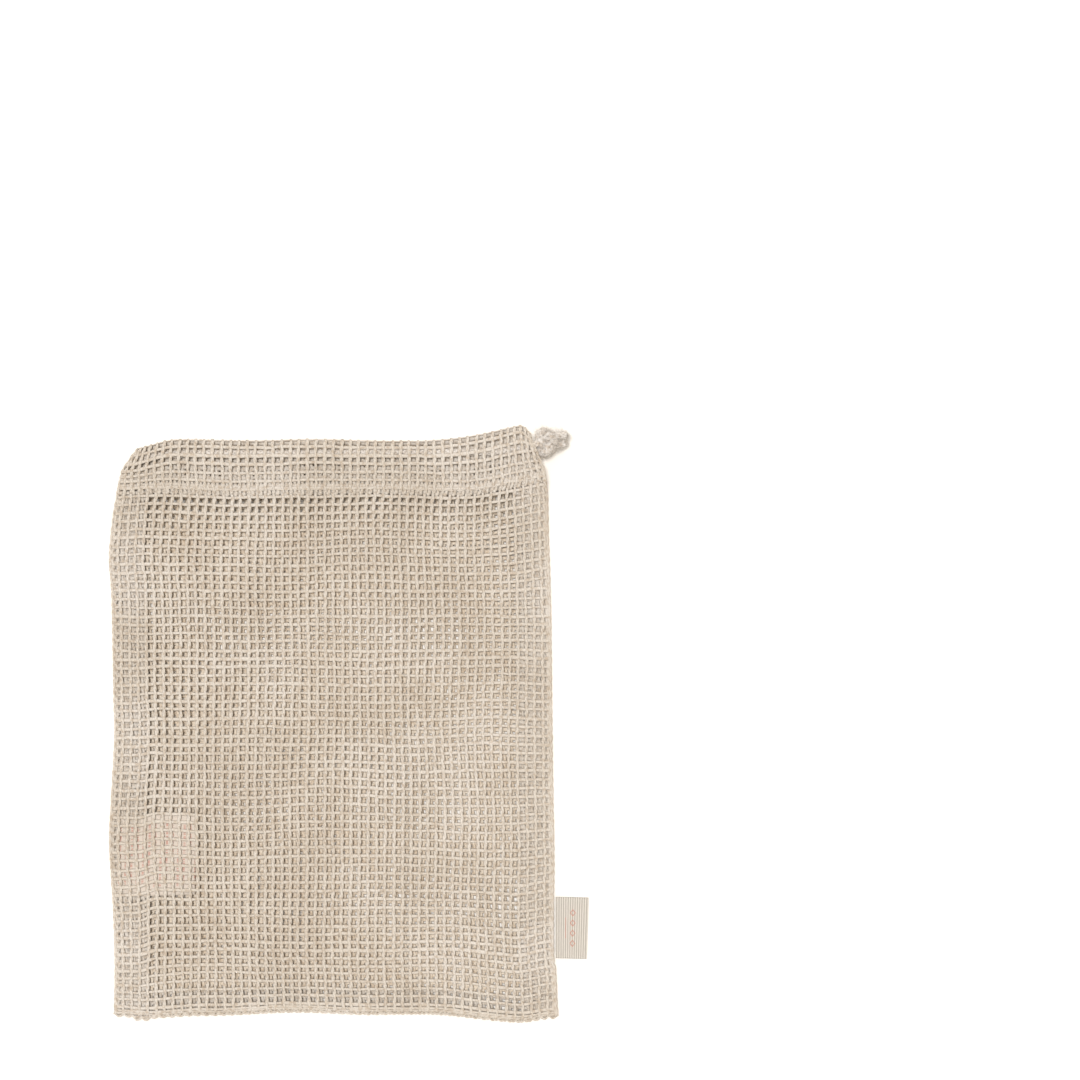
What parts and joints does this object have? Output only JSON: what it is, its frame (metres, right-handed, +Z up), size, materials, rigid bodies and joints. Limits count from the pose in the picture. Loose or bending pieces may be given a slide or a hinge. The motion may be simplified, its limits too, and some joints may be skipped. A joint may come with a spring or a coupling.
{
  "type": "mesh laundry bag",
  "caption": "Small flat cotton net bag with a drawstring hem, sewn side seams, a folded side label and an inner care label.",
  "frame": {"origin": "on the surface the bag lies on, under the middle of its box without the drawstring", "axes": "+X towards the knot and the side label, +Y from the bottom fold to the mouth, +Z up out of the front of the bag laid on its back"},
  "size_m": [0.208, 0.2609, 0.0167],
  "materials": {
    "net": "undyed cotton leno net, matte",
    "cord": "soft undyed cotton cord, matte and slightly fuzzy",
    "thread": "cotton sewing thread",
    "ribbon": "ribbed cream ribbon",
    "satin": "cream satin"
  },
  "bodies": {
    "bag": {"back_panel": "net", "front_panel": "net", "bottom_fold": "net", "front_casing": "net", "back_casing": "net", "casing_left_turn": "net", "left_seam_allowance": "net", "right_seam_allowance": "net", "left_overlock": "thread", "right_overlock": "thread", "left_seam_stitches": "thread", "right_seam_stitches": "thread", "front_casing_stitches": "thread", "back_casing_stitches": "thread", "care_label": "satin"},
    "drawstring": {"drawstring_front_run": "cord", "drawstring_bight": "cord", "drawstring_back_run": "cord", "drawstring_knot": "cord", "drawstring_upper_tail": "cord", "drawstring_lower_tail": "cord"},
    "side_label": {"side_label": "ribbon"}
  },
  "joints": [
    {"name": "drawstring_pull", "type": "slide", "parent": "bag", "child": "drawstring", "axis": [1, 0, 0], "range_m": [0, 0.1], "deforming": ["drawstring_bight"]},
    {"name": "side_label_flap", "type": "hinge", "parent": "bag", "child": "side_label", "pos_m": [0.0918, -0.0877, 0.0015], "axis": [0, -1, 0], "range_deg": [0, 90]}
  ]
}
